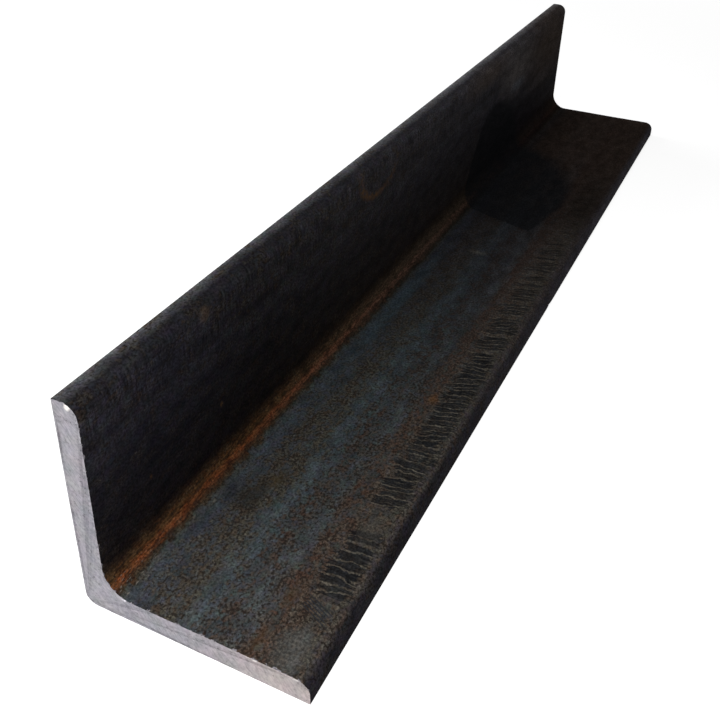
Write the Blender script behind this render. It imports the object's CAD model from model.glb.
import math

import bmesh
import bpy
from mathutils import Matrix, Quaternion, Vector, noise


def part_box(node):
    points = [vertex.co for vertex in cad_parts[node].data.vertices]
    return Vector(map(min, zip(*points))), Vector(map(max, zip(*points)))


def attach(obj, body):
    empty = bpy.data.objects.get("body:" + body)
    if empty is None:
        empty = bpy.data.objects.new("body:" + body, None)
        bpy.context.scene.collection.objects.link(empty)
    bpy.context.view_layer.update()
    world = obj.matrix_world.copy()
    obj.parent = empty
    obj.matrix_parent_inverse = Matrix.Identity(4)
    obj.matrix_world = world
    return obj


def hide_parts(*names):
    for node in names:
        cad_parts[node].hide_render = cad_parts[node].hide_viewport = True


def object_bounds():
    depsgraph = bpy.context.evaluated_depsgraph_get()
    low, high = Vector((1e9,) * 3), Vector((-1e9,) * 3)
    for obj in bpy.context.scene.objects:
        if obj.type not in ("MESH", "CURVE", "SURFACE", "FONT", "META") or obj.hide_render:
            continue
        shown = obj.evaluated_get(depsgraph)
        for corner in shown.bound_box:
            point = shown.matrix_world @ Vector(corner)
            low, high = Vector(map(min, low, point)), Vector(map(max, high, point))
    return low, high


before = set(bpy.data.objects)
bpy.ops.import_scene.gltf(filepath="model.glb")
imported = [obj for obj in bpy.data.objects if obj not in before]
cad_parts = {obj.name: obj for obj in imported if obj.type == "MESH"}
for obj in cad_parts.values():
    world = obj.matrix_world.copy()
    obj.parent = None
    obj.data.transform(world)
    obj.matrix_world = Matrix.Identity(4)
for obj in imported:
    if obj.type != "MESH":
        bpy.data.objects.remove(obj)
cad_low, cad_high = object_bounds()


# ---------------------------------------------------------------------------------------
# Camera: stands off the near sawn end, on the toe side of the base leg, and looks down along
# the inside corner, so that the bar climbs to the upper right. The middle of its frame is a
# little off its axis, which the shift makes up for.

MM = 0.001                      # metres in a millimetre
frame_pixels = 720              # the frame's side, which the two below are measured in
focal_pixels = 924.4
axis_pixels = (340, 300)        # where the camera's axis meets the frame
camera_place = Vector((110.2, -369.8, 219.9)) * MM
camera_aim = Vector((-42.6, -58.4, 8.0)) * MM
camera_lean = math.radians(1.15)

scene = bpy.context.scene
camera_data = bpy.data.cameras.new("camera")
camera_data.sensor_width = 36.0
camera_data.lens = camera_data.sensor_width * focal_pixels / frame_pixels
camera_data.shift_x = 0.5 - axis_pixels[0] / frame_pixels
camera_data.shift_y = axis_pixels[1] / frame_pixels - 0.5
camera_data.clip_start = 0.01
camera_data.clip_end = 20.0
camera = bpy.data.objects.new("camera", camera_data)
scene.collection.objects.link(camera)
camera.location = camera_place
camera.rotation_mode = "QUATERNION"
camera.rotation_quaternion = (
    (camera_aim - camera_place).to_track_quat("-Z", "Y") @ Quaternion((0, 0, 1), camera_lean)
)
scene.camera = camera


# ---------------------------------------------------------------------------------------
# The bar: an equal angle, hot-rolled in one piece of structural steel and sawn square at
# both ends. The rolled skin is never quite flat, the root carries a thin crust of rust,
# and the saw leaves a ragged burr round each cut.

box_low, box_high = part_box("angle_section")
leg_thickness = 8.0 * MM
root_radius = 9.0 * MM
toe_radius = 4.5 * MM
heel_radius = 4.0 * MM
inner_pitch = 0.5 * MM          # spacing of the mesh round the inside of the section
outer_pitch = 3.0 * MM          # and on the plain outer faces
length_pitch = 2.0 * MM         # along the bar
end_pitches = [0.3 * MM, 0.6 * MM, 1.1 * MM]    # closer rings next to each cut
burr_height = 0.40 * MM         # the cut face lies this far inside the bar's nominal end
touching = 0.01 * MM            # an edge this near the outside planes lies on them

bar = bmesh.new()
girth_layer = bar.verts.layers.float.new("girth")
corners = {
    "heel": (box_low.x, box_low.z),
    "base_tip": (box_high.x, box_low.z),
    "base_toe": (box_high.x, box_low.z + leg_thickness),
    "root": (box_low.x + leg_thickness, box_low.z + leg_thickness),
    "upright_toe": (box_low.x + leg_thickness, box_high.z),
    "upright_tip": (box_low.x, box_high.z),
}
cut_near = box_low.y + burr_height
cut_far = box_high.y - burr_height
corner_verts = {name: bar.verts.new((x, cut_near, z)) for name, (x, z) in corners.items()}
bar.faces.new(corner_verts.values())
roundings = {
    # radius and number of segments
    "root": (root_radius, 24),
    "base_toe": (toe_radius, 12),
    "upright_toe": (toe_radius, 12),
    "heel": (heel_radius, 6),
}
for name, (radius, segments) in roundings.items():
    bmesh.ops.bevel(
        bar, geom=[corner_verts[name]], offset=radius, offset_type="OFFSET", segments=segments,
        profile=0.5, affect="VERTICES", material=-1,
    )
for edge in list(bar.edges):
    middle = (edge.verts[0].co + edge.verts[1].co) / 2
    outer = middle.x < box_low.x + touching or middle.z < box_low.z + touching
    cuts = round(edge.calc_length() / (outer_pitch if outer else inner_pitch)) - 1
    if cuts > 0:
        bmesh.ops.subdivide_edges(bar, edges=[edge], cuts=cuts)

# Each vertex keeps its girth, which is its distance round the section: from the back edge of
# the upright's tip, down the inside, out along the base leg and back under the heel.
section_face = next(iter(bar.faces))
back_corner = Vector((box_low.x, cut_near, box_high.z))
loop = min(section_face.loops, key=lambda l: (l.vert.co - back_corner).length)
section_girth = 0.0
for _ in section_face.loops:
    loop.vert[girth_layer] = section_girth
    section_girth += loop.link_loop_prev.edge.calc_length()
    loop = loop.link_loop_prev

# The section is drawn out ring by ring to the far cut.
bar_length = cut_far - cut_near
plain_length = bar_length - 2 * sum(end_pitches)
plain_rings = round(plain_length / length_pitch)
ring_steps = end_pitches + [plain_length / plain_rings] * plain_rings + end_pitches[::-1]
ring = list(section_face.edges)
for step in ring_steps:
    made = bmesh.ops.extrude_edge_only(bar, edges=ring)["geom"]
    ring = [item for item in made if isinstance(item, bmesh.types.BMEdge)]
    ring_verts = [item for item in made if isinstance(item, bmesh.types.BMVert)]
    bmesh.ops.translate(bar, verts=ring_verts, vec=(0, step, 0))
    ring_set = set(ring_verts)
    ring = [edge for edge in ring if edge.verts[0] in ring_set and edge.verts[1] in ring_set]
far_face = bmesh.ops.edgeloop_fill(bar, edges=ring)["faces"][0]
bmesh.ops.recalc_face_normals(bar, faces=bar.faces)

# Unevenness of the rolled skin, with all its sizes in millimetres. On the inner faces it goes
# both ways; elsewhere it only sinks, so that the bar keeps its outside size.
inner_skin = (12.0, 130.0)      # girth of the inner faces
skin_waves = [                  # height, size round the section, size along it and seed
    (0.10, 24.0, 85.0, 1.0), (0.04, 3.2, 55.0, 5.0),
]
toe_bands = ((3.0, 11.0), (131.0, 140.0))       # girth of the toes, which wave and are worn
toe_wave = 0.16
toe_wave_length = 17.0
toe_seed = 9.0
toe_wear = 0.04
crust_band = (65.5, 74.5)       # girth of the rust crust in the root
crust_height = 0.14
crust_grain = (1.3, 3.5)        # size of a grain, round the section and along it
crust_seed = 13.0
crust_cover = 0.35              # more of this leaves fewer gaps in the crust
outer_sink = 0.03
dents = [                       # girth, place along the bar, radius and depth
    (5.5, -196.0, 2.6, 0.35), (7.5, -118.0, 3.4, 0.30), (4.5, -31.0, 2.2, 0.40),
    (6.5, 64.0, 4.2, 0.30), (5.0, 151.0, 2.8, 0.35), (136.0, -171.0, 3.0, 0.40),
    (134.5, -64.0, 4.5, 0.28), (137.0, 22.0, 2.6, 0.40), (135.5, 118.0, 3.6, 0.35),
    (217.0, -140.0, 5.0, 0.45), (215.5, -12.0, 3.5, 0.40), (218.0, 96.0, 6.0, 0.40),
    (288.0, -82.0, 3.0, 0.35), (289.0, 133.0, 3.8, 0.30), (143.5, -5.0, 3.2, 0.35),
]
bar.normal_update()
relief = {}
for vert in bar.verts:
    place_round = vert[girth_layer] / MM
    place_along = vert.co.y / MM
    rise = 0.0
    for height, size_round, size_along, seed in skin_waves:
        rise += height * noise.noise((place_round / size_round, place_along / size_along, seed))
    if any(start < place_round < end for start, end in toe_bands):
        rise += toe_wave * noise.noise((place_along / toe_wave_length, 0.0, toe_seed)) - toe_wear
    if crust_band[0] < place_round < crust_band[1]:
        inside = min(place_round - crust_band[0], crust_band[1] - place_round)
        grain = noise.noise(
            (place_round / crust_grain[0], place_along / crust_grain[1], crust_seed)
        )
        rise += crust_height * min(1.0, inside) * max(0.0, crust_cover + grain)
    if not inner_skin[0] < place_round < inner_skin[1]:
        rise = min(0.0, rise - outer_sink)
    for dent_round, dent_along, radius, depth in dents:
        away = math.hypot(place_round - dent_round, place_along - dent_along) / radius
        if away < 1:
            rise -= depth * (1 - away * away) ** 2
    outward = Vector((vert.normal.x, 0.0, vert.normal.z)).normalized()
    relief[vert] = outward * rise * MM
for vert, shift in relief.items():
    vert.co += shift

# Burr: the rim of each cut is drawn up in a ragged lip, and leans out over the inside faces.
# The lip is a part of the burr's height, from patches and from the teeth in them.
burr_flare = 0.45 * MM          # how far the burr leans out over the rolled skin
outer_flare = 0.6               # part of that by which it leans in on the outer faces
burr_band = 0.55 * MM           # width of the rim that the burr is drawn up from
burr_patch = 6.0                # size of a patch and of a tooth, in millimetres
burr_tooth = 0.9
patch_seed = 17.0
tooth_seed = 21.0
end_seed = 3.0                  # keeps the two ends apart
lowest_lip = -0.5
middle_lip = 0.10
patch_part = 1.2
tooth_part = 1.1
near_face = min(bar.faces, key=lambda face: face.calc_center_median().y)
sawn_faces = []
for cut_face, direction in ((near_face, -1), (far_face, 1)):
    rim_verts = list(cut_face.verts)
    inset = bmesh.ops.inset_region(
        bar, faces=[cut_face], thickness=burr_band, use_even_offset=True,
    )
    sawn_faces += [cut_face, *inset["faces"]]
    for vert in rim_verts:
        place_round = vert[girth_layer] / MM
        patch = noise.noise((place_round / burr_patch, direction * end_seed, patch_seed))
        tooth = noise.noise((place_round / burr_tooth, direction * end_seed, tooth_seed))
        lip = middle_lip + patch_part * patch + tooth_part * tooth
        lip = min(1.0, max(lowest_lip, lip))
        inside = inner_skin[0] < place_round < inner_skin[1]
        outward = Vector((vert.normal.x, 0.0, vert.normal.z)).normalized()
        lean = burr_flare * lip if inside else min(0.0, burr_flare * outer_flare * lip)
        vert.co += outward * lean
        vert.co.y += direction * burr_height * lip
sawn_faces = set(sawn_faces)

# The skin coordinates: girth and place along the bar, in metres. The girth runs on past the
# seam at the back edge of the upright's tip.
crease_angle = math.radians(35)     # edges sharper than this stay crisp
skin_map = bar.loops.layers.uv.new("skin")
for face in bar.faces:
    girths = [loop.vert[girth_layer] for loop in face.loops]
    over_seam = max(girths) - min(girths) > section_girth / 2
    on_cut = face in sawn_faces
    face.material_index = 1 if on_cut else 0
    face.smooth = not on_cut
    for loop, loop_girth in zip(face.loops, girths):
        if over_seam and loop_girth < section_girth / 2:
            loop_girth += section_girth
        loop[skin_map].uv = (loop_girth, loop.vert.co.y)
for edge in bar.edges:
    edge.smooth = edge.calc_face_angle(0.0) < crease_angle

bar_mesh = bpy.data.meshes.new("rolled_angle")
bar.to_mesh(bar_mesh)
bar.free()
rolled_angle = bpy.data.objects.new("rolled_angle", bar_mesh)
scene.collection.objects.link(rolled_angle)


# Colours are written as sRGB hex values, and this turns one to the linear values of a node.
def linear(hex_colour):
    channels = [int(hex_colour[place:place + 2], 16) / 255 for place in (1, 3, 5)]
    return [c / 12.92 if c <= 0.04045 else ((c + 0.055) / 1.055) ** 2.4 for c in channels] + [1]


# Adds a node to the material being made, with its settings, and fills or links its inputs.
def add(kind, inputs=None, output=0, **settings):
    node = tree.nodes.new("ShaderNode" + kind)
    for name, value in settings.items():
        setattr(node, name, value)
    for socket, value in (inputs or {}).items():
        if isinstance(value, bpy.types.NodeSocket):
            tree.links.new(value, node.inputs[socket])
        else:
            node.inputs[socket].default_value = value
    return node.outputs[output] if node.outputs else None


# Fills a ramp from stops of place and colour. Places, start and length are in millimetres.
def fill_ramp(ramp, stops, start, length):
    for stop, _ in stops[1:-1]:
        ramp.elements.new((stop - start) / length)
    for element, (stop, colour) in zip(ramp.elements, stops):
        element.position = (stop - start) / length
        element.color = colour


# Hot-rolled mill scale: the oxide skin that the steel comes off the rolls with. To the eye it
# is matt and nearly black, with blue-grey and brown bands along the bar, a fine broken grain,
# rust from red-brown to tan, thickest in the root, and a crackle of dark plates by one toe.
mill_scale = bpy.data.materials.new("hot_rolled_mill_scale")
mill_scale.use_nodes = True
tree = mill_scale.node_tree
tree.nodes.clear()

uv = add("UVMap", uv_map="skin")
skin = add("VectorMath", {0: uv, "Scale": 1 / MM}, operation="SCALE")
girth = add("SeparateXYZ", {0: skin}, output="X")
along = add("SeparateXYZ", {0: skin}, output="Y")

# Noises: size across and along the bar in millimetres, detail and roughness. The grain, the
# specks, the flecks and the streaks of real scale are mostly under half a millimetre. That is
# too fine to show, so they are drawn about twice as coarse.
grains = {
    "drift": (14.0, 40.0, 2.0, 0.5),
    "fray": (2.0, 2.4, 3.0, 0.65),
    "grain": (0.75, 0.9, 3.0, 0.65),
    "clouds": (5.0, 10.0, 3.0, 0.55),
    "cluster": (5.5, 9.0, 2.0, 0.55),
    "specks": (0.95, 1.1, 2.0, 0.6),
    "worms": (2.1, 2.2, 3.0, 0.6),
    "rusting": (1.8, 2.5, 2.0, 0.5),
    "hue": (2.8, 3.8, 1.0, 0.5),
    "streak": (0.45, 4.0, 2.0, 0.5),
    "fibre": (0.8, 5.0, 3.0, 0.65),
    "comb": (9.0, 0.9, 2.0, 0.6),
    "flecks": (0.5, 2.2, 1.0, 0.5),
    "bend": (4.5, 5.0, 3.0, 0.6),
    "lean": (200.0, 9.0, 0.0, 0.5),
}
noise_low = 0.3                 # nearly all of a noise's values lie between these two
noise_high = 0.7
apart = (7.3, 3.1)              # how far each noise lies from the one before it
field = {}
field_tint = {}
for number, (name, (across, length, detail, roughness)) in enumerate(grains.items()):
    spot = add("VectorMath", {
        0: skin, 1: (1 / across, 1 / length, 0), 2: (apart[0] * number, apart[1] * number, 0),
    }, operation="MULTIPLY_ADD")
    field[name] = add(
        "TexNoise", {"Vector": spot, "Scale": 1.0, "Detail": detail, "Roughness": roughness},
        noise_dimensions="2D",
    )
    field_tint[name] = field[name].node.outputs["Color"]

# Bands along the bar, as the rolls and the cooling left them: girth in millimetres, colour of
# the scale, colour of the rust on it, and how much rust, tan threads and dark specks it holds.
root_girth = 62.8               # where the upright leg turns into the root
edge_end = 142.0                # where the base leg's edge turns under
upright_bands = [
    (0.0, "#78787b", "#6a645e", 0.02, 0.03, 0.10),
    (1.6, "#5a5a5e", "#5c554f", 0.02, 0.04, 0.15),
    (4.8, "#2e2d32", "#3d3937", 0.02, 0.03, 0.20),
    (7.5, "#39383d", "#443e3b", 0.03, 0.03, 0.20),
    (16.0, "#353439", "#413b38", 0.02, 0.02, 0.20),
    (22.4, "#2c2b2f", "#383332", 0.00, 0.00, 0.15),
    (24.5, "#323237", "#3a3636", 0.00, 0.00, 0.15),
    (28.0, "#313035", "#3a3636", 0.00, 0.00, 0.15),
    (32.0, "#2a292e", "#343031", 0.00, 0.00, 0.15),
    (44.0, "#232225", "#2e2a2b", 0.05, 0.00, 0.10),
    (root_girth, "#211e1f", "#2b2523", 0.15, 0.00, 0.10),
]
base_bands = [
    (root_girth, "#211e1f", "#2b2523", 0.15, 0.00, 0.10),
    (66.0, "#261e1a", "#35281e", 0.40, 0.00, 0.05),
    (68.6, "#31251b", "#513925", 0.50, 0.00, 0.00),
    (69.4, "#2f241a", "#4a3420", 0.50, 0.00, 0.05),
    (71.1, "#41281a", "#6f4027", 0.60, 0.00, 0.00),
    (72.9, "#2e241d", "#433023", 0.50, 0.10, 0.15),
    (74.0, "#2d2a25", "#3c342a", 0.40, 0.20, 0.30),
    (74.8, "#3c3e3d", "#46403a", 0.08, 0.10, 0.15),
    (77.4, "#383c42", "#424140", 0.06, 0.05, 0.12),
    (84.3, "#37393c", "#423c36", 0.42, 0.45, 0.60),
    (92.6, "#3b3d3d", "#474139", 0.42, 0.52, 0.60),
    (97.0, "#404649", "#46443f", 0.04, 0.10, 0.18),
    (101.0, "#3f4447", "#433b37", 0.08, 0.05, 0.38),
    (105.2, "#3c3f40", "#463b36", 0.42, 0.12, 0.58),
    (111.6, "#45484a", "#484441", 0.08, 0.10, 0.50),
    (115.6, "#3c3b3a", "#4c3d36", 0.52, 0.22, 0.60),
    (131.4, "#3a3937", "#4d463e", 0.42, 0.42, 0.50),
    (133.4, "#3f3b3c", "#4e4742", 0.30, 0.25, 0.45),
    (135.4, "#302e32", "#3d3838", 0.10, 0.10, 0.30),
    (137.4, "#403e44", "#4b4545", 0.12, 0.10, 0.30),
    (edge_end, "#46444a", "#514a4a", 0.12, 0.10, 0.30),
]
outer_bands = [
    (edge_end, "#323136", "#443a38", 0.20, 0.10, 0.30),
    (150.0, "#37373a", "#54443a", 0.30, 0.30, 0.50),
    (168.0, "#393d41", "#4c3e36", 0.15, 0.10, 0.40),
    (176.0, "#38383a", "#5c4636", 0.50, 0.40, 0.60),
    (192.0, "#3b3f43", "#50453a", 0.15, 0.20, 0.45),
    (210.0, "#363537", "#543f36", 0.35, 0.30, 0.55),
    (216.0, "#363335", "#5e432e", 0.60, 0.30, 0.40),
    (221.0, "#323134", "#4e3e32", 0.30, 0.20, 0.40),
    (236.0, "#34373c", "#4a4038", 0.12, 0.15, 0.40),
    (248.0, "#333235", "#543f34", 0.40, 0.35, 0.60),
    (262.0, "#363a3e", "#483d36", 0.12, 0.15, 0.45),
    (280.0, "#313034", "#463c36", 0.25, 0.25, 0.50),
    (290.5, "#303034", "#443a34", 0.10, 0.10, 0.20),
]


# A stretch of the skin, 1 inside it and 0 outside. The four girths say where it starts to
# show, where it is full, where it starts to fade and where it is gone.
def stretch(starts, full, fades, gone):
    rising = add("MapRange", {"Value": girth, "From Min": starts, "From Max": full})
    falling = add("MapRange", {"Value": girth, "From Min": gone, "From Max": fades})
    return add("Math", {0: rising, 1: falling}, operation="MULTIPLY")


# The root, where rust lies thick.
in_root = stretch(root_girth, 67.0, 74.5, 76.5)

# The bands wander on the flat faces, and hold still in the root and at the toe line. Farther
# along, the lines of the root blur and lean a little towards the base leg.
fray_least = 1.6                # width of the frayed edges, of what the flat faces add to it,
fray_flat = 3.6                 # and of the wandering, in millimetres
wander = 6.0
base_loose = stretch(77.0, 86.0, 114.0, 120.0)
upright_loose = stretch(5.0, 12.0, 50.0, 60.0)
skin_loose = add("Math", {0: girth, 1: edge_end + 1}, operation="GREATER_THAN")
either = add("Math", {0: base_loose, 1: upright_loose}, operation="MAXIMUM")
loose = add("Math", {0: either, 1: skin_loose}, operation="MAXIMUM")
root_blur = add("MapRange", {"Value": along, "From Min": -130.0, "From Max": 0.0, "To Max": 2.2})
blurred_root = add("Math", {0: root_blur, 1: in_root, 2: fray_least}, operation="MULTIPLY_ADD")
fray_width = add("Math", {0: loose, 1: fray_flat, 2: blurred_root}, operation="MULTIPLY_ADD")
fray_off = add("Math", {0: field["fray"], 1: 0.5}, operation="SUBTRACT")
edge_girth = add("Math", {0: fray_off, 1: fray_width, 2: girth}, operation="MULTIPLY_ADD")
drifting = add("Math", {0: field["drift"], 1: wander, 2: -wander / 2}, operation="MULTIPLY_ADD")
drifted = add("Math", {0: drifting, 1: loose, 2: edge_girth}, operation="MULTIPLY_ADD")
root_lean = add("MapRange", {
    "Value": along, "From Min": -150.0, "From Max": -50.0, "To Max": -0.6,
})
leant = add("Math", {0: root_lean, 1: in_root, 2: drifted}, operation="MULTIPLY_ADD")

# The scale breaks off in short square steps along the root, fainter farther along.
step_length = 3.1               # length of a step and how far it juts out, in millimetres
step_reach = 1.9
step_spot = add("Math", {0: along, 1: 1 / step_length}, operation="MULTIPLY")
step_tint = add(
    "TexVoronoi", {"W": step_spot, "Scale": 1.0}, output="Color", voronoi_dimensions="1D",
)
step_draw = add("SeparateColor", {0: step_tint}, output="Red")
step_size = add("Math", {
    0: step_draw, 1: step_reach, 2: -step_reach / 2,
}, operation="MULTIPLY_ADD")
step_here = stretch(72.8, 74.0, 76.0, 78.0)
step_fade = add("MapRange", {
    "Value": along, "From Min": 20.0, "From Max": -130.0, "To Min": 0.3,
})
step_faded = add("Math", {0: step_here, 1: step_fade}, operation="MULTIPLY")
wandering = add("Math", {0: step_size, 1: step_faded, 2: leant}, operation="MULTIPLY_ADD")

# Each side of the bar has its bands in three ramps, and the girth says which side it is.
sides = {}
side_bands = {"upright": upright_bands, "base": base_bands, "outer": outer_bands}
for side, bands in side_bands.items():
    start = bands[0][0]
    length = bands[-1][0] - start
    reach = add("MapRange", {
        "Value": wandering, "From Min": start, "From Max": bands[-1][0],
    })
    columns = {
        "scale": [(band[0], linear(band[1])) for band in bands],
        "rust": [(band[0], linear(band[2])) for band in bands],
        "amounts": [(band[0], (*band[3:6], 1)) for band in bands],
    }
    for column, stops in columns.items():
        sides[side, column] = add("ValToRGB", {"Fac": reach})
        fill_ramp(sides[side, column].node.color_ramp, stops, start, length)
past_root = add("Math", {0: girth, 1: root_girth}, operation="GREATER_THAN")
outside = add("Math", {0: girth, 1: edge_end}, operation="GREATER_THAN")
band = {}
for column in ("scale", "rust", "amounts"):
    inside = add("MixRGB", {
        "Fac": past_root, "Color1": sides["upright", column], "Color2": sides["base", column],
    })
    band[column] = add("MixRGB", {
        "Fac": outside, "Color1": inside, "Color2": sides["outer", column],
    })
rust_amount = add("SeparateColor", {0: band["amounts"]}, output="Red")
thread_amount = add("SeparateColor", {0: band["amounts"]}, output="Green")
speck_amount = add("SeparateColor", {0: band["amounts"]}, output="Blue")

# Scale, clouded and finely grained, each patch with a slight tinge of its own.
clouds = add("MapRange", {
    "Value": field["clouds"], "From Min": noise_low, "From Max": noise_high,
    "To Min": 0.72, "To Max": 1.28,
})
grained = add("MapRange", {
    "Value": field["grain"], "From Min": noise_low, "From Max": noise_high,
    "To Min": 0.50, "To Max": 1.50,
})
patchy = add("MapRange", {
    "Value": field["rusting"], "From Min": noise_low, "From Max": noise_high,
    "To Min": 1.14, "To Max": 0.86,
})
clouded = add("Math", {0: clouds, 1: patchy}, operation="MULTIPLY")
shade = add("Math", {0: clouded, 1: grained}, operation="MULTIPLY")
plain_scale = add("VectorMath", {0: band["scale"], "Scale": shade}, operation="SCALE")
tinge_spread = 0.36             # how far apart the tinges of two patches may be
tinge = add("VectorMath", {
    0: field_tint["hue"], 1: (tinge_spread,) * 3, 2: (1 - tinge_spread / 2,) * 3,
}, operation="MULTIPLY_ADD")
scale_colour = add("VectorMath", {0: plain_scale, 1: tinge}, operation="MULTIPLY")

# Rust in soft patches from red-brown to tan, more where the clusters are. In the root it is
# drawn out in fine streaks along the bar.
cluster_pull = 0.8              # how much rust, threads and specks gather in clusters
rust_pull = 0.45                # how much the band's amount of rust counts
streaks_flat = 0.5              # strength of the streaks on the flat faces, and how much
streaks_root = 1.1              # stronger they are in the root
red_factor = (0.96, 0.84, 0.78, 1)      # what the band's colour of rust is multiplied by
tan_factor = (1.02, 1.14, 1.12, 1)      # in the reddest and in the tannest patches
fibre_gap = add("Math", {0: field["fibre"], 1: field["rusting"]}, operation="SUBTRACT")
rust_noise = add("Math", {0: fibre_gap, 1: in_root, 2: field["rusting"]}, operation="MULTIPLY_ADD")
clustered = add("Math", {
    0: field["cluster"], 1: cluster_pull, 2: -cluster_pull / 2,
}, operation="MULTIPLY_ADD")
rust_lean = add("Math", {0: rust_amount, 1: rust_pull, 2: clustered}, operation="MULTIPLY_ADD")
rust_sum = add("Math", {0: rust_noise, 1: rust_lean}, operation="ADD")
rusty = add("MapRange", {"Value": rust_sum, "From Min": 0.56, "From Max": 0.80})
rust_hue = add("MapRange", {
    "Value": field["hue"], "From Min": noise_low, "From Max": noise_high,
    "To Min": 0.7, "To Max": 1.3,
})
hue_part = add("MapRange", {"Value": field["hue"], "From Min": 0.35, "From Max": 0.65})
red_or_tan = add("MixRGB", {
    "Fac": hue_part, "Color1": red_factor, "Color2": tan_factor,
})
streak_off = add("Math", {0: field["streak"], 1: 0.5}, operation="SUBTRACT")
streak_gain = add("Math", {
    0: in_root, 1: streaks_root, 2: streaks_flat,
}, operation="MULTIPLY_ADD")
streaked = add("Math", {0: streak_off, 1: streak_gain, 2: 1.0}, operation="MULTIPLY_ADD")
rust_shade = add("Math", {0: streaked, 1: grained}, operation="MULTIPLY")
rust_tone = add("VectorMath", {0: band["rust"], 1: red_or_tan}, operation="MULTIPLY")
rust_colour = add("VectorMath", {0: rust_tone, "Scale": rust_shade}, operation="SCALE")
rusted = add("MixRGB", {"Fac": rusty, "Color1": scale_colour, "Color2": rust_colour})

# Tan threads: thin crooked lines along the half-way level of a noise. Their widths are
# differences from that level.
thread_gather = 2.0             # how much wider they are in clusters
thread_wide = 0.035
thread_least = 0.002
thread_strength = 0.85
off_middle = add("Math", {0: field["worms"], 1: 0.5}, operation="SUBTRACT")
from_thread = add("Math", {0: off_middle}, operation="ABSOLUTE")
thread_lean = add("Math", {
    0: clustered, 1: thread_gather, 2: thread_amount,
}, operation="MULTIPLY_ADD")
thread_width = add("Math", {
    0: thread_lean, 1: thread_wide, 2: thread_least,
}, operation="MULTIPLY_ADD")
thread_core = add("Math", {0: thread_width, 1: from_thread}, operation="SUBTRACT")
thread_soft = add("MapRange", {"Value": thread_core, "From Min": -0.004, "From Max": 0.024})
threaded = add("Math", {0: thread_soft, 1: thread_strength}, operation="MULTIPLY")
thread_shade = add("Math", {0: rust_hue, 1: grained}, operation="MULTIPLY")
thread_colour = add(
    "VectorMath", {0: linear("#5a544b")[:3], "Scale": thread_shade}, operation="SCALE"
)
threads = add("MixRGB", {"Fac": threaded, "Color1": rusted, "Color2": thread_colour})

# Dark specks, where the scale is pitted.
speck_gather = 0.5              # how much they gather in clusters
speck_pull = 0.22               # how much the band's amount of specks counts
speck_strength = 0.82
speck_cluster = add("Math", {
    0: clustered, 1: speck_gather, 2: field["specks"],
}, operation="MULTIPLY_ADD")
speck_lean = add("Math", {
    0: speck_amount, 1: speck_pull, 2: speck_cluster,
}, operation="MULTIPLY_ADD")
specked = add("MapRange", {"Value": speck_lean, "From Min": 0.64, "From Max": 0.74})
speck_depth = add("Math", {0: specked, 1: speck_strength}, operation="MULTIPLY")
pitted = add("MixRGB", {
    "Fac": speck_depth, "Color1": threads, "Color2": linear("#231e1b"),
})

# Farther along, the skin is more even: its rust shows as a tone and not in patches.
even_part = 0.6                 # part of the band's amount of rust that counts there, and
even_least = 0.05               # the tone where the band has none
even_rust = add("Math", {0: rust_amount, 1: even_part, 2: even_least}, operation="MULTIPLY_ADD")
even_bands = add("MixRGB", {"Fac": even_rust, "Color1": band["scale"], "Color2": band["rust"]})
even_skin = add("VectorMath", {0: even_bands, "Scale": shade}, operation="SCALE")
evenness = add("MapRange", {
    "Value": along, "From Min": -130.0, "From Max": 40.0, "To Min": 0.0, "To Max": 0.55,
})
evened = add("MixRGB", {"Fac": evenness, "Color1": pitted, "Color2": even_skin})

# Pale flecks of broken scale in the root, by the near end.
fleck_band = stretch(69.5, 70.5, 75.4, 76.4)
fleck_near = add("MapRange", {"Value": along, "From Min": -205.0, "From Max": -232.0})
fleck_some = add("MapRange", {"Value": field["flecks"], "From Min": 0.67, "From Max": 0.80})
fleck_here = add("Math", {0: fleck_band, 1: fleck_near}, operation="MULTIPLY")
fleck_cover = add("Math", {0: fleck_here, 1: fleck_some}, operation="MULTIPLY")
flecked = add("MixRGB", {
    "Fac": fleck_cover, "Color1": evened, "Color2": linear("#6e6860"),
})

# Crackle beside the base toe: dark plates of scale across the bar, parted by crooked tan
# lines, with fringed ends. The plates are narrower and lean more farther along.
plate_middle = 126.5            # girth of the plates' middle, and of their longest ends
plate_top = 119.6
plate_foot = 133.8
top_ragged = 2.6                # how much shorter a plate may be at either end, and how far
foot_ragged = 2.4               # its fringes and bends go, in millimetres
fringe_reach = 9.0
bend_reach = 2.6
lean_spread = 0.8               # how far apart the leans of two plates may be
rim_fringe = 0.16               # part of a plate's width that its sides are fringed by
bent = add("Math", {0: field["bend"], 1: bend_reach, 2: along}, operation="MULTIPLY_ADD")
lean_more = add("MapRange", {
    "Value": along, "From Min": -190.0, "From Max": -90.0, "To Max": -0.35,
})
leaning = add("Math", {0: field["lean"], 1: lean_spread, 2: lean_more}, operation="MULTIPLY_ADD")
leaning_off = add("Math", {0: leaning, 1: lean_spread / 2}, operation="SUBTRACT")
across_plates = add("Math", {0: girth, 1: plate_middle}, operation="SUBTRACT")
plate_place = add("Math", {0: leaning_off, 1: across_plates, 2: bent}, operation="MULTIPLY_ADD")
plates_in_mm = 0.40             # plates in a millimetre at the bar's middle, and how many
plates_gain = 0.0003            # more there are with each millimetre along it
plates_per_mm = add("Math", {
    0: along, 1: plates_gain, 2: plates_in_mm,
}, operation="MULTIPLY_ADD")
plate_spot = add("Math", {0: plate_place, 1: plates_per_mm}, operation="MULTIPLY")
plate_gap = add(
    "TexVoronoi", {"W": plate_spot, "Scale": 1.0, "Randomness": 0.85},
    voronoi_dimensions="1D", feature="DISTANCE_TO_EDGE",
)
plate_draw = add(
    "TexVoronoi", {"W": plate_spot, "Scale": 1.0, "Randomness": 0.85}, output="Color",
    voronoi_dimensions="1D", feature="F1",
)
top_draw = add("SeparateColor", {0: plate_draw}, output="Red")
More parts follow.
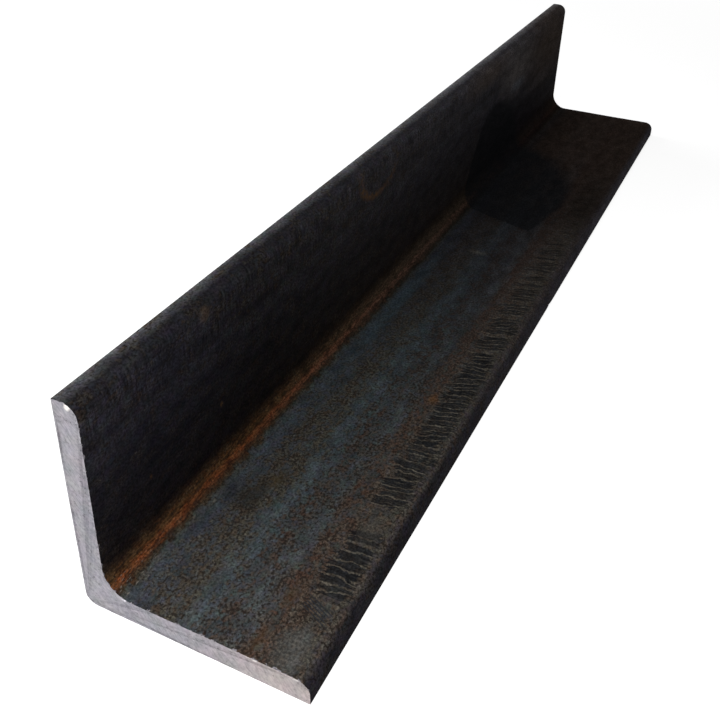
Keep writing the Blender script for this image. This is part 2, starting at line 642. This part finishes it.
low_draw = add("SeparateColor", {0: plate_draw}, output="Green")
here_draw = add("SeparateColor", {0: plate_draw}, output="Blue")
fringe_width = 0.9              # width and length of a fringe, in millimetres
fringe_length = 5.5
fringe_along = add("Math", {0: plate_place, 1: 1 / fringe_width}, operation="MULTIPLY")
fringe_across = add("Math", {0: girth, 1: 1 / fringe_length}, operation="MULTIPLY")
fringe_spot = add("CombineXYZ", {0: fringe_across, 1: fringe_along})
fringe_noise = add(
    "TexNoise", {"Vector": fringe_spot, "Scale": 1.0, "Detail": 3.0, "Roughness": 0.6},
    noise_dimensions="2D",
)
fringe = add("Math", {0: fringe_noise, 1: 0.5}, operation="SUBTRACT")
top_line = add("Math", {0: top_draw, 1: top_ragged, 2: plate_top}, operation="MULTIPLY_ADD")
low_line = add("Math", {0: low_draw, 1: -foot_ragged, 2: plate_foot}, operation="MULTIPLY_ADD")
below_top = add("Math", {0: girth, 1: top_line}, operation="SUBTRACT")
above_low = add("Math", {0: low_line, 1: girth}, operation="SUBTRACT")
inside_plate = add("Math", {0: below_top, 1: above_low}, operation="MINIMUM")
fringed = add("Math", {0: fringe, 1: fringe_reach, 2: inside_plate}, operation="MULTIPLY_ADD")
plate_band = add("MapRange", {"Value": fringed, "From Min": 0.0, "From Max": 1.6})
plate_rim = add("Math", {0: fringe, 1: rim_fringe, 2: plate_gap}, operation="MULTIPLY_ADD")
plate_edge = add("MapRange", {"Value": plate_rim, "From Min": 0.04, "From Max": 0.13})

# Finer cracks, which break up the plates past the first few.
fine_spacing = 1.3              # millimetres
fine_fringe = 0.5               # part of that spacing by which a crack is crooked
fine_spot = add("Math", {0: plate_place, 1: 1 / fine_spacing}, operation="MULTIPLY")
fine_gap = add(
    "TexVoronoi", {"W": fine_spot, "Scale": 1.0, "Randomness": 1.0},
    voronoi_dimensions="1D", feature="DISTANCE_TO_EDGE",
)
fine_rim = add("Math", {0: fringe, 1: fine_fringe, 2: fine_gap}, operation="MULTIPLY_ADD")
fine_line = add("MapRange", {"Value": fine_rim, "From Min": 0.16, "From Max": 0.04})
fine_part = add("MapRange", {"Value": field["rusting"], "From Min": 0.42, "From Max": 0.58})
fine_along = add("MapRange", {
    "Value": along, "From Min": -192.0, "From Max": -168.0, "To Min": 0.05, "To Max": 0.60,
})
fine_some = add("Math", {0: fine_part, 1: fine_along}, operation="MULTIPLY")
fine_cracks = add("Math", {0: fine_line, 1: fine_some}, operation="MULTIPLY")

# How many plates there are along the bar: place along it in millimetres, and the part kept.
bar_start = cad_low.y / MM
bar_reach = (cad_high.y - cad_low.y) / MM
length_part = add("MapRange", {
    "Value": along, "From Min": bar_start, "From Max": bar_start + bar_reach,
})
plate_stops = [
    (-235, 0.0), (-208, 0.0), (-206, 1.0), (-187, 1.0), (-184, 0.20), (-168, 0.10),
    (-166, 0.95), (-80, 0.92), (-20, 0.80), (30, 0.60), (62, 0.25), (235, 0.10),
]
plate_along = add("ValToRGB", {"Fac": length_part})
fill_ramp(
    plate_along.node.color_ramp, [(stop, (value,) * 3 + (1,)) for stop, value in plate_stops],
    bar_start, bar_reach,
)
plate_some = add("Math", {0: here_draw, 1: plate_along}, operation="LESS_THAN")
plated = add("Math", {0: plate_band, 1: plate_edge}, operation="MULTIPLY")
plates = add("Math", {0: plated, 1: plate_some}, operation="MULTIPLY")
plate_fade = add("MapRange", {
    "Value": along, "From Min": 70.0, "From Max": -80.0, "To Min": 0.55,
})
plate_depth = add("MapRange", {"Value": low_draw, "To Min": 0.72, "To Max": 1.0})
plate_faded = add("Math", {0: plate_fade, 1: plate_depth}, operation="MULTIPLY")
plate_cover = add("Math", {0: plates, 1: plate_faded}, operation="MULTIPLY")
line_strength = 0.72
line_gap = add("MapRange", {"Value": plate_rim, "From Min": 0.11, "From Max": 0.03})
line_or_crack = add("Math", {0: line_gap, 1: fine_cracks}, operation="MAXIMUM")
line_band = add("Math", {0: plate_band, 1: line_or_crack}, operation="MULTIPLY")
line_here = add("Math", {0: plate_along, 1: line_strength}, operation="MULTIPLY")
line_some = add("Math", {0: line_band, 1: line_here}, operation="MULTIPLY")
line_shade = add("Math", {0: rust_hue, 1: grained}, operation="MULTIPLY")
line_colour = add("VectorMath", {
    0: linear("#5b564d")[:3], "Scale": line_shade,
}, operation="SCALE")
plate_colour = add("VectorMath", {0: linear("#1d1e20")[:3], "Scale": shade}, operation="SCALE")
covered = add("MixRGB", {"Fac": plate_cover, "Color1": flecked, "Color2": plate_colour})
crackled = add("MixRGB", {"Fac": line_some, "Color1": covered, "Color2": line_colour})

# Fine combing across the bar, beside both toes.
comb_strength = 1.6
comb_off = add("Math", {0: field["comb"], 1: 0.5}, operation="SUBTRACT")
upright_comb = stretch(5.0, 9.0, 16.0, 34.0)
base_comb = stretch(117.0, 122.0, 132.0, 135.0)
comb_here = add("Math", {0: upright_comb, 1: base_comb}, operation="MAXIMUM")
comb_gain = add("Math", {0: comb_here, 1: comb_strength}, operation="MULTIPLY")
comb_shade = add("Math", {0: comb_off, 1: comb_gain, 2: 1.0}, operation="MULTIPLY_ADD")
combed = add("VectorMath", {0: crackled, "Scale": comb_shade}, operation="SCALE")

# The scale darkens along the base leg, less beside the toe. The upright changes little, and
# the edges of the toes are darker by the near end: place along the bar in millimetres, and tone.
toe_starts = 133.7              # girth over which the base leg's face gives way to its edge
toe_full = 136.5
base_tones = [
    (-235, "#ffffff"), (-205, "#f4f4f4"), (-175, "#dfe1e1"), (-125, "#cfd3d4"),
    (-75, "#bfc3c6"), (-25, "#b0b0b4"), (24, "#a5a2a7"), (64, "#918d90"), (235, "#8c8583"),
]
upright_tones = [
    (-235, "#fcfaff"), (-205, "#e9e8f2"), (-150, "#d2d0cd"), (-110, "#e6e4de"), (-75, "#f7f4ec"),
    (0, "#fffdf8"), (235, "#ffffff"),
]
toe_tones = [
    (-235, "#bababa"), (-150, "#aeaeae"), (-75, "#c6c6c6"), (0, "#e0e0e0"), (85, "#f6f6f6"),
    (235, "#ffffff"),
]
toned = {}
for side, tones in (("base", base_tones), ("upright", upright_tones), ("toe", toe_tones)):
    toned[side] = add("ValToRGB", {"Fac": length_part})
    stops = [(stop, linear(tone)) for stop, tone in tones]
    fill_ramp(toned[side].node.color_ramp, stops, bar_start, bar_reach)
light_side = add("MapRange", {
    "Value": girth, "From Min": 111.0, "From Max": 121.0, "To Max": 0.45,
})
light_length = add("MapRange", {"Value": along, "From Min": 80.0, "From Max": 0.0, "To Min": 0.2})
lighter = add("Math", {0: light_side, 1: light_length}, operation="MULTIPLY")
base_tone = add("MixRGB", {
    "Fac": lighter, "Color1": toned["base"], "Color2": linear("#ffffff"),
})
on_base = add("MapRange", {"Value": girth, "From Min": 62.0, "From Max": 72.0})
on_inside = add("MapRange", {"Value": girth, "From Min": toe_full, "From Max": toe_starts})
base_side = add("Math", {0: on_base, 1: on_inside}, operation="MULTIPLY")
flat_tone = add("MixRGB", {
    "Fac": base_side, "Color1": toned["upright"], "Color2": base_tone,
})
on_tip = add("MapRange", {"Value": girth, "From Min": 11.5, "From Max": 8.0})
on_toe = add("MapRange", {"Value": girth, "From Min": toe_starts, "From Max": toe_full})
toe_inside = add("Math", {0: girth, 1: edge_end}, operation="LESS_THAN")
toe_here = add("Math", {0: on_toe, 1: toe_inside}, operation="MULTIPLY")
either_toe = add("Math", {0: on_tip, 1: toe_here}, operation="MAXIMUM")
tone = add("MixRGB", {"Fac": either_toe, "Color1": flat_tone, "Color2": toned["toe"]})
toned_skin = add("VectorMath", {0: combed, 1: tone}, operation="MULTIPLY")

# The rust in the root turns from orange to a dull olive brown farther along.
root_dulling = 0.40             # part of the colour's saturation that is lost
olive_factor = (1.0, 1.0, 0.90, 1)      # what it is then multiplied by
dulling = add("MapRange", {
    "Value": along, "From Min": -160.0, "From Max": 0.0, "To Max": -root_dulling,
})
saturation = add("Math", {0: dulling, 1: in_root, 2: 1.0}, operation="MULTIPLY_ADD")
dulled = add("HueSaturation", {"Color": toned_skin, "Saturation": saturation})
olive_part = add("Math", {0: dulling, 1: in_root}, operation="MULTIPLY")
olive = add("MapRange", {"Value": olive_part, "From Max": -root_dulling})
olive_tint = add("MixRGB", {
    "Fac": olive, "Color1": (1, 1, 1, 1), "Color2": olive_factor,
})
root_dulled = add("VectorMath", {0: dulled, 1: olive_tint}, operation="MULTIPLY")

# Towards the far end the base leg is an even dull brown.
browned = add("MapRange", {"Value": along, "From Min": 63.0, "From Max": 164.0, "To Max": 0.85})
past_dark_root = add("MapRange", {"Value": girth, "From Min": 70.0, "From Max": 82.0})
browned_side = add("Math", {0: past_dark_root, 1: on_inside}, operation="MULTIPLY")
browned_here = add("Math", {0: browned, 1: browned_side}, operation="MULTIPLY")
shaded = add("MapRange", {"Value": girth, "From Min": 70.0, "From Max": 100.0, "To Min": 0.45})
brown_shade = add("Math", {0: shade, 1: shaded}, operation="MULTIPLY")
brown = add("VectorMath", {0: linear("#2a221e")[:3], "Scale": brown_shade}, operation="SCALE")
look = add("MixRGB", {"Fac": browned_here, "Color1": root_dulled, "Color2": brown})

# Stains and the spill have ragged rims.
rim_fray = 2.5                  # how ragged, in millimetres
ragged_shift = add("CombineXYZ", {0: fray_off, 1: fray_off})
ragged_skin = add("VectorMath", {
    0: ragged_shift, 1: (rim_fray, rim_fray, 0), 2: skin,
}, operation="MULTIPLY_ADD")


# Distance from the middle of an oval patch of the skin, 1 at its rim. Its place and half sizes
# are in millimetres, along the bar first and then round the section.
def oval(middle_along, middle_girth, half_length, half_girth):
    from_middle = add("VectorMath", {
        0: ragged_skin, 1: (1 / half_girth, 1 / half_length, 0),
        2: (-middle_girth / half_girth, -middle_along / half_length, 0),
    }, operation="MULTIPLY_ADD")
    return add("VectorMath", {0: from_middle}, output="Value", operation="LENGTH")


# A fan of fine parallel scratches beside the first plates, which runs askew across the bar.
scratch_lean = 0.45             # millimetres along the bar for each one across it
scratch_spacing = 1.10          # millimetres, as are the fan's place and its half sizes
fan_place = -212.3
fan_half_width = 3.6
fan_half_length = 5.5
scratch_fray = 0.9
scratch_strength = 0.85
scratch_place = add("Math", {
    0: across_plates, 1: scratch_lean, 2: along,
}, operation="MULTIPLY_ADD")
scratch_wave = add("Math", {0: scratch_place, 1: scratch_spacing / 2}, operation="PINGPONG")
scratch_line = add("MapRange", {"Value": scratch_wave, "From Min": 0.36, "From Max": 0.16})
scratch_off = add("Math", {0: scratch_place, 1: fan_place}, operation="SUBTRACT")
scratch_side = add("Math", {0: scratch_off, 1: 1 / fan_half_width}, operation="MULTIPLY")
scratch_far = add("Math", {0: scratch_side}, operation="ABSOLUTE")
scratch_end = add("Math", {0: across_plates, 1: 1 / fan_half_length}, operation="MULTIPLY")
scratch_long = add("Math", {0: scratch_end}, operation="ABSOLUTE")
scratch_rim = add("Math", {0: scratch_far, 1: scratch_long}, operation="MAXIMUM")
scratch_edge = add("Math", {
    0: fray_off, 1: scratch_fray, 2: scratch_rim,
}, operation="MULTIPLY_ADD")
scratch_soft = add("MapRange", {"Value": scratch_edge, "From Min": 1.0, "From Max": 0.65})
scratch_cover = add("Math", {0: scratch_line, 1: scratch_soft}, operation="MULTIPLY")
scratch_dark = add("Math", {0: scratch_cover, 1: scratch_strength}, operation="MULTIPLY")
look = add("MixRGB", {"Fac": scratch_dark, "Color1": look, "Color2": linear("#292b2f")})

# Stains and blooms: place along, girth, half length and half girth in millimetres, how much of
# that is soft edge, colour and strength.
stains = {
    "teal bloom": (-57.0, 79.7, 80.0, 4.5, 0.7, "#29363c", 0.40),
    "oil smudge": (-180.5, 80.0, 9.5, 5.5, 0.8, "#1e1f20", 0.55),
    "oil smear": (-182.5, 85.5, 8.5, 6.0, 0.8, "#1d1c1a", 0.60),
    "oil edge": (-175.0, 87.0, 8.0, 3.6, 0.8, "#1f1c17", 0.50),
    "olive edge": (-171.0, 89.5, 7.0, 3.2, 0.9, "#3b301b", 0.55),
    "near wash": (-227.5, 126.5, 10.0, 7.0, 0.5, "#4a4a48", 0.60),
    "near rust": (-211.0, 117.5, 7.0, 3.0, 0.8, "#43301f", 0.55),
    "corner rust": (-228.0, 117.0, 7.0, 3.2, 0.8, "#46321f", 0.45),
    "gap wash": (-177.0, 127.0, 8.0, 5.0, 0.6, "#413f3b", 0.45),
    "orange scab": (-105.5, 119.0, 4.0, 2.4, 0.8, "#55391f", 0.55),
    "tan drop": (12.5, 95.0, 2.8, 6.0, 1.0, "#4a4641", 0.50),
    "toe wash": (95.0, 127.0, 44.0, 9.5, 0.7, "#1b1714", 0.50),
    "tan scab": (-177.0, 10.5, 3.4, 3.2, 0.5, "#4a3d31", 0.55),
    "blue scale": (-196.0, 16.0, 9.0, 8.0, 0.5, "#24242b", 0.60),
    "orange tick": (-209.5, 49.2, 0.8, 1.3, 0.6, "#4e3826", 0.55),
    "orange fleck": (-171.5, 48.3, 1.0, 1.5, 0.6, "#5c4630", 0.50),
    "tan haze": (88.0, 11.0, 46.0, 8.0, 0.8, "#4e4540", 0.65),
    "pale bloom": (140.0, 21.0, 41.0, 18.5, 0.8, "#565150", 0.85),
    "blue glint": (142.0, 31.0, 17.0, 4.5, 0.8, "#5a6068", 0.45),
    "far bloom": (206.0, 20.0, 62.0, 32.0, 0.7, "#433931", 0.66),
    "far streak": (190.0, 41.5, 40.0, 5.0, 1.0, "#4c4748", 0.40),
    "dark foot": (142.0, 55.0, 84.0, 14.0, 0.6, "#131216", 0.65),
    "dark root": (156.0, 67.0, 96.0, 10.0, 0.4, "#120f12", 0.62),
}
for middle_along, middle_girth, half_length, half_girth, soft, colour, strength in stains.values():
    rim = oval(middle_along, middle_girth, half_length, half_girth)
    cover = add("MapRange", {
        "Value": rim, "From Min": 1.0, "From Max": 1.0 - soft, "To Max": strength,
    })
    tint = add("VectorMath", {0: linear(colour)[:3], "Scale": shade}, operation="SCALE")
    look = add("MixRGB", {"Fac": cover, "Color1": look, "Color2": tint})

# A thin hooked run of rust on the upright: the lower arc of an oval ring, blotched and dim.
hook_rim = oval(-50.0, 10.5, 18.0, 11.0)
hook_side = add("Math", {0: hook_rim, 1: 1.0}, operation="SUBTRACT")
hook_off = add("Math", {0: hook_side}, operation="ABSOLUTE")
hook_line = add("MapRange", {"Value": hook_off, "From Min": 0.19, "From Max": 0.02})
hook_low = add("MapRange", {"Value": girth, "From Min": 6.0, "From Max": 17.0})
hook_left = add("MapRange", {"Value": along, "From Min": -24.0, "From Max": -56.0})
hook_ends = add("Math", {0: hook_low, 1: hook_left}, operation="MULTIPLY")
hook_spots = add("MapRange", {"Value": field["rusting"], "From Min": 0.30, "From Max": 0.65})
hook_blotched = add("Math", {0: hook_ends, 1: hook_spots}, operation="MULTIPLY")
hook = add("Math", {0: hook_line, 1: hook_blotched}, operation="MULTIPLY")
look = add("MixRGB", {"Fac": hook, "Color1": look, "Color2": linear("#5e4630")})

# The dark oil patch across the root: a many-sided spill, crisp at its near and toe edges and
# soft at the far one. Corners as (place along, girth) and the softness of the edge after each.
spill = [
    ((57.0, 73.0), 1.0), ((45.0, 110.5), 1.5), ((66.0, 115.5), 2.5), ((86.0, 119.0), 4.0),
    ((108.0, 117.5), 7.0), ((129.0, 110.5), 9.0), ((144.0, 99.0), 9.0), ((155.0, 86.0), 9.0),
    ((156.0, 68.0), 8.0), ((150.0, 50.0), 7.0), ((139.0, 40.0), 6.0), ((124.0, 33.0), 5.0),
    ((105.0, 28.5), 4.0), ((92.0, 29.5), 3.0), ((80.0, 38.0), 2.5), ((70.0, 51.0), 2.0),
]
spilled = None
for (corner, soft), (next_corner, _) in zip(spill, spill[1:] + spill[:1]):
    run = Vector(next_corner) - Vector(corner)
    inward = Vector((run.y, -run.x)).normalized()
    depth = add("VectorMath", {
        0: ragged_skin, 1: (inward.y / soft, inward.x / soft, 0),
    }, output="Value", operation="DOT_PRODUCT")
    inside = add("Math", {0: depth, 1: inward.dot(Vector(corner)) / soft}, operation="SUBTRACT")
    if spilled is None:
        spilled = inside
    else:
        spilled = add("Math", {0: spilled, 1: inside}, operation="MINIMUM")
spill_depth = add("MapRange", {
    "Value": field["clouds"], "From Min": noise_low, "From Max": noise_high,
    "To Min": 0.95, "To Max": 0.72,
})
spill_soft = add("MapRange", {"Value": spilled})
spill_cover = add("Math", {0: spill_soft, 1: spill_depth}, operation="MULTIPLY")
spill_colour = add("VectorMath", {0: linear("#101113")[:3], "Scale": grained}, operation="SCALE")
look = add("MixRGB", {"Fac": spill_cover, "Color1": look, "Color2": spill_colour})

# Bare steel beside each cut, where the saw has torn the scale off in small teeth.
tooth_across = 1.8              # size of a tooth, in millimetres
tooth_along = 2.5
from_near = add("Math", {0: along, 1: bar_start}, operation="SUBTRACT")
from_far = add("Math", {0: bar_start + bar_reach, 1: along}, operation="SUBTRACT")
from_cut = add("Math", {0: from_near, 1: from_far}, operation="MINIMUM")
tooth_spot = add("VectorMath", {
    0: skin, 1: (1 / tooth_across, 1 / tooth_along, 0),
}, operation="MULTIPLY")
teeth = add(
    "TexNoise", {"Vector": tooth_spot, "Scale": 1.0, "Detail": 2.0, "Roughness": 0.6},
    noise_dimensions="2D",
)
tooth_reach = add("MapRange", {
    "Value": teeth, "From Min": 0.42, "From Max": 0.75, "To Min": 0.10, "To Max": 1.1,
})
bared = add("Math", {0: from_cut, 1: tooth_reach}, operation="LESS_THAN")
bare_steel = add("VectorMath", {0: linear("#8b878c")[:3], "Scale": grained}, operation="SCALE")
look = add("MixRGB", {"Fac": bared, "Color1": look, "Color2": bare_steel})

# Rust is duller than scale and stands proud of it, as the plates do, and the specks are pits.
# The specular level is kept low, so that pale surroundings lay no veil on the dark skin.
relief_depth = 0.05 * MM
rust_rise = 0.7                 # parts of that depth
pit_sink = 0.6
plate_rise = 0.8
rough = add("MapRange", {"Value": rusty, "To Min": 0.80, "To Max": 0.98})
crust = add("Math", {0: rusty, 1: rust_rise, 2: field["grain"]}, operation="MULTIPLY_ADD")
pits = add("Math", {0: specked, 1: -pit_sink, 2: crust}, operation="MULTIPLY_ADD")
relief_height = add("Math", {0: plates, 1: plate_rise, 2: pits}, operation="MULTIPLY_ADD")
bump = add("Bump", {"Height": relief_height, "Strength": 0.5, "Distance": relief_depth})
bare_metallic = 0.5
bare_metal = add("Math", {0: bared, 1: bare_metallic}, operation="MULTIPLY")
shader = add("BsdfPrincipled", {
    "Base Color": look, "Roughness": rough, "Normal": bump,
    "Metallic": bare_metal, "Specular IOR Level": 0.005,
})
add("OutputMaterial", {"Surface": shader})

# Sawn steel: bare metal as the saw blade left it, not polished. To the eye it is a light grey
# with a soft sheen, fine slanting saw marks, faint warm and cool blotches and small dark pits.
# The saw marks are drawn twice as coarse as real ones, so that they show.
sawn_steel = bpy.data.materials.new("sawn_steel")
sawn_steel.use_nodes = True
tree = sawn_steel.node_tree
tree.nodes.clear()
mark_spacing = 0.5 * MM
mark_length = 2.6 * MM
mark_slant = math.radians(40)
spot_size = 1.0 * MM
blotch_size = 5 * MM
spot_part = 0.7                 # how much spots and blotches count beside the marks
blotch_part = 0.5
tint_spread = 0.16              # how far apart the tints of two blotches may be
steel_place = add("TexCoord", output="Object")
turned = add("VectorRotate", {
    "Vector": steel_place, "Angle": mark_slant,
}, rotation_type="Y_AXIS")
drawn_out = add("VectorMath", {
    0: turned, 1: (1 / mark_spacing, 1, 1 / mark_length),
}, operation="MULTIPLY")
marks = add("TexNoise", {"Vector": drawn_out, "Scale": 1.0, "Detail": 3.0, "Roughness": 0.6})
spots = add("TexNoise", {
    "Vector": steel_place, "Scale": 1 / spot_size, "Detail": 2.0, "Roughness": 0.6,
})
blotch = add("TexNoise", {"Vector": steel_place, "Scale": 1 / blotch_size, "Detail": 2.0})
blotch_tint = blotch.node.outputs["Color"]
mottle = add("Math", {0: spots, 1: spot_part, 2: marks}, operation="MULTIPLY_ADD")
blotched = add("Math", {0: blotch, 1: blotch_part, 2: mottle}, operation="MULTIPLY_ADD")
lightness = add("MapRange", {"Value": blotched, "From Min": 0.70, "From Max": 1.50})
cool = add("MixRGB", {"Fac": lightness, "Color1": linear("#737177"), "Color2": linear("#b1aeb5")})
warm = add("MixRGB", {"Fac": lightness, "Color1": linear("#7f7879"), "Color2": linear("#c4bab9")})
place_across = add("SeparateXYZ", {0: steel_place}, output="X")
toe_part = add("MapRange", {
    "Value": place_across, "From Min": -5.0 * MM, "From Max": 25.0 * MM,
})
metal = add("MixRGB", {"Fac": toe_part, "Color1": cool, "Color2": warm})
patched = add("VectorMath", {
    0: blotch_tint, 1: (tint_spread,) * 3, 2: (1 - tint_spread / 2,) * 3,
}, operation="MULTIPLY_ADD")
sawn = add("VectorMath", {0: metal, 1: patched}, operation="MULTIPLY")
pit_shade = add("MapRange", {"Value": spots, "From Min": 0.28, "From Max": 0.36, "To Min": 0.6})
pitted_metal = add("VectorMath", {0: sawn, "Scale": pit_shade}, operation="SCALE")

# Bright specks where the burr is bent over and rubbed: place across, height and radius in
# millimetres, and strength.
glints = [(-32.4, 74.0, 1.3, 1.0), (20.6, 8.0, 0.9, 0.4), (33.2, 7.8, 1.1, 0.4)]
glint_core = 0.4                # part of the radius that is full
shine = pitted_metal
for glint_across, glint_height, glint_radius, strength in glints:
    from_glint = add("VectorMath", {
        0: steel_place, 1: (glint_across * MM, cut_near, glint_height * MM),
    }, output="Value", operation="DISTANCE")
    glint_cover = add("MapRange", {
        "Value": from_glint, "From Min": glint_radius * MM,
        "From Max": glint_core * glint_radius * MM, "To Max": strength,
    })
    shine = add("MixRGB", {"Fac": glint_cover, "Color1": shine, "Color2": linear("#fffaf5")})
groove_depth = 0.06 * MM
grooves = add("Bump", {"Height": mottle, "Strength": 0.6, "Distance": groove_depth})
shader = add("BsdfPrincipled", {
    "Base Color": shine, "Metallic": 0.7, "Roughness": 0.5, "Normal": grooves,
})
add("OutputMaterial", {"Surface": shader})

rolled_angle.data.materials.append(mill_scale)
rolled_angle.data.materials.append(sawn_steel)
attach(rolled_angle, "root")
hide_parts("angle_section")


# ---------------------------------------------------------------------------------------
# Studio: a plain white floor with plain white all round, a soft round lamp in front, above
# the near end, and a wider one to the left, behind the upright.

floor_size = 6.0                # half its side
floor_mesh = bpy.data.meshes.new("floor")
floor_shape = bmesh.new()
bmesh.ops.create_grid(floor_shape, x_segments=1, y_segments=1, size=floor_size)
floor_shape.to_mesh(floor_mesh)
floor_shape.free()
floor = bpy.data.objects.new("floor", floor_mesh)
scene.collection.objects.link(floor)

# White floor paint, rolled on and quite matt: to the eye an even white, with nothing on it but
# the bar's soft shadow. Its glow is seen but lights nothing. Past the shadow it is as white as
# what lies beyond it, so that no horizon shows.
floor_glow = 0.78
shadow_reach = (0.35, 0.75)     # metres from the middle over which the shadow gives way
floor_paint = bpy.data.materials.new("white_floor_paint")
floor_paint.use_nodes = True
tree = floor_paint.node_tree
tree.nodes.clear()


# 1 for what the camera sees straight, mirrored or through glass, and 0 for light on the way.
def shown_to_camera():
    straight = add("LightPath", output="Is Camera Ray")
    mirrored = add("LightPath", output="Is Glossy Ray")
    through = add("LightPath", output="Is Transmission Ray")
    straight_or_mirrored = add("Math", {0: straight, 1: mirrored}, operation="MAXIMUM")
    return add("Math", {0: straight_or_mirrored, 1: through}, operation="MAXIMUM")


shown = shown_to_camera()
glow_level = add("Math", {0: shown, 1: floor_glow}, operation="MULTIPLY")
glow = add("Emission", {"Color": (1, 1, 1, 1), "Strength": glow_level})
paint = add("BsdfDiffuse", {"Color": linear("#b8b8b8")})
near_floor = add("AddShader", {0: paint, 1: glow})
plain_white = add("Emission", {"Color": (1, 1, 1, 1), "Strength": 1.0})
floor_place = add("TexCoord", output="Object")
from_middle = add("VectorMath", {0: floor_place}, output="Value", operation="LENGTH")
far_off = add("MapRange", {
    "Value": from_middle, "From Min": shadow_reach[0], "From Max": shadow_reach[1],
})
white_part = add("Math", {0: far_off, 1: shown}, operation="MULTIPLY")
both = add("MixShader", {0: white_part, 1: near_floor, 2: plain_white})
add("OutputMaterial", {"Surface": both})
floor_mesh.materials.append(floor_paint)

# All round it is white to the eye, also mirrored or through glass, but lights the bar dimly.
world = bpy.data.worlds.new("studio")
scene.world = world
world.use_nodes = True
tree = world.node_tree
tree.nodes.clear()
light_all_round = 0.16
level = add("MapRange", {"Value": shown_to_camera(), "To Min": light_all_round, "To Max": 1.0})
shader = add("Background", {"Color": (1, 1, 1, 1), "Strength": level})
add("OutputWorld", {"Surface": shader})

lamps = {
    # place, aim and size in metres, and power in watts
    "key": ((0.03, -0.50, 0.45), (0.0, -0.18, 0.0), 0.35, 3.3),
    "fill": ((-0.90, 0.25, 0.35), (0.0, 0.0, 0.03), 0.60, 5.4),
}
for name, (lamp_place, lamp_aim, lamp_size, power) in lamps.items():
    lamp_data = bpy.data.lights.new(name, "AREA")
    lamp_data.shape = "DISK"
    lamp_data.size = lamp_size
    lamp_data.energy = power
    lamp = bpy.data.objects.new(name, lamp_data)
    scene.collection.objects.link(lamp)
    lamp.location = lamp_place
    lamp.rotation_mode = "QUATERNION"
    lamp.rotation_quaternion = (Vector(lamp_aim) - Vector(lamp_place)).to_track_quat("-Z", "Y")

# Colours render about as they are written.
scene.view_settings.view_transform = "Standard"
